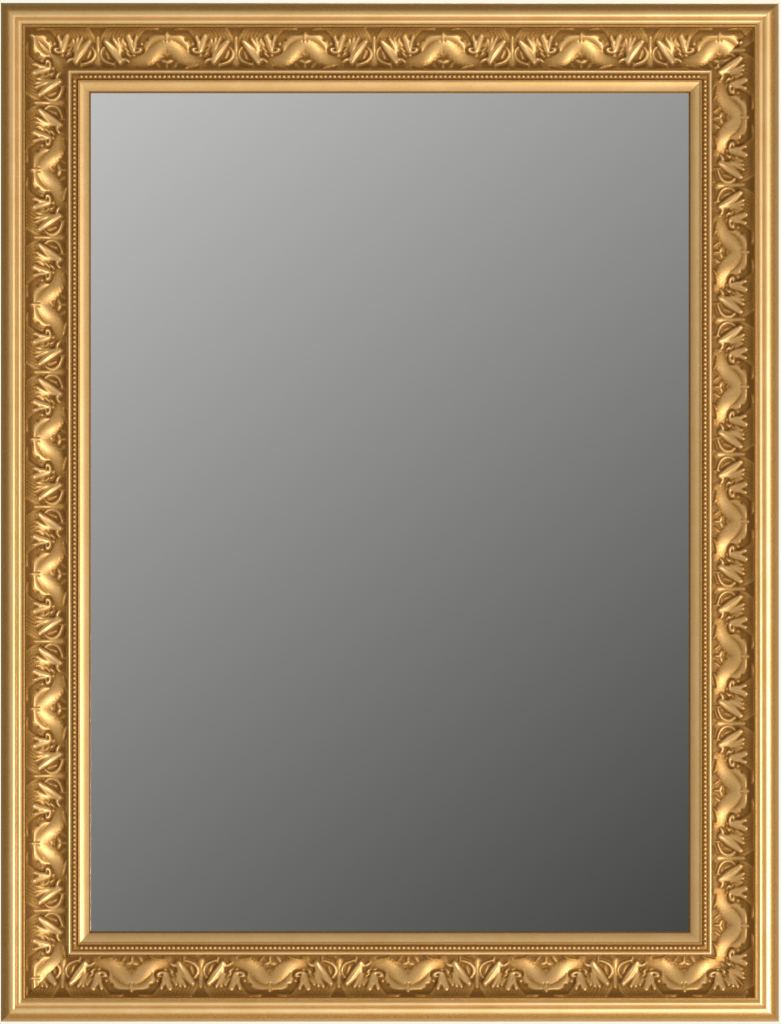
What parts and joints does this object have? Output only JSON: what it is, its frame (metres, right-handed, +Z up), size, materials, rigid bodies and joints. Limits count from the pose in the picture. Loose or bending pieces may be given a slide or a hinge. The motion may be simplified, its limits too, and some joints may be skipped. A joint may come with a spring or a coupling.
{
  "type": "wall mirror",
  "caption": "Upright rectangular wall mirror in a deep moulded frame, carved with acanthus leaves and arched straps and finished in antique gold.",
  "frame": {"origin": "on the wall plane, on the back of the top rail, midway between the two hangers and level with their teeth", "axes": "+Z up, +Y into the wall, so the mirror faces -Y, and +X to the right of someone looking into it"},
  "size_m": [0.6462, 0.034, 0.8462],
  "materials": {
    "antique_gilding": "wood with moulded ornament, gilded, satin, with brown patina in the hollows",
    "silvered_glass": "flat polished glass, silvered behind, no bevel",
    "backing_board": "brown hardboard, matt",
    "plated_steel": "thin zinc-plated steel, dull"
  },
  "bodies": {
    "root": {"rail_top": "antique_gilding", "rail_bottom": "antique_gilding", "rail_left": "antique_gilding", "rail_right": "antique_gilding", "mirror_glass": "silvered_glass", "backing_board": "backing_board", "hanger_left": "plated_steel", "hanger_right": "plated_steel", "screw_left_inner": "plated_steel", "screw_left_outer": "plated_steel", "screw_right_inner": "plated_steel", "screw_right_outer": "plated_steel", "retaining_point_1": "plated_steel", "retaining_point_2": "plated_steel", "retaining_point_3": "plated_steel", "retaining_point_4": "plated_steel", "retaining_point_5": "plated_steel", "retaining_point_6": "plated_steel", "retaining_point_7": "plated_steel", "retaining_point_8": "plated_steel", "retaining_point_9": "plated_steel", "retaining_point_10": "plated_steel"}
  },
  "joints": []
}
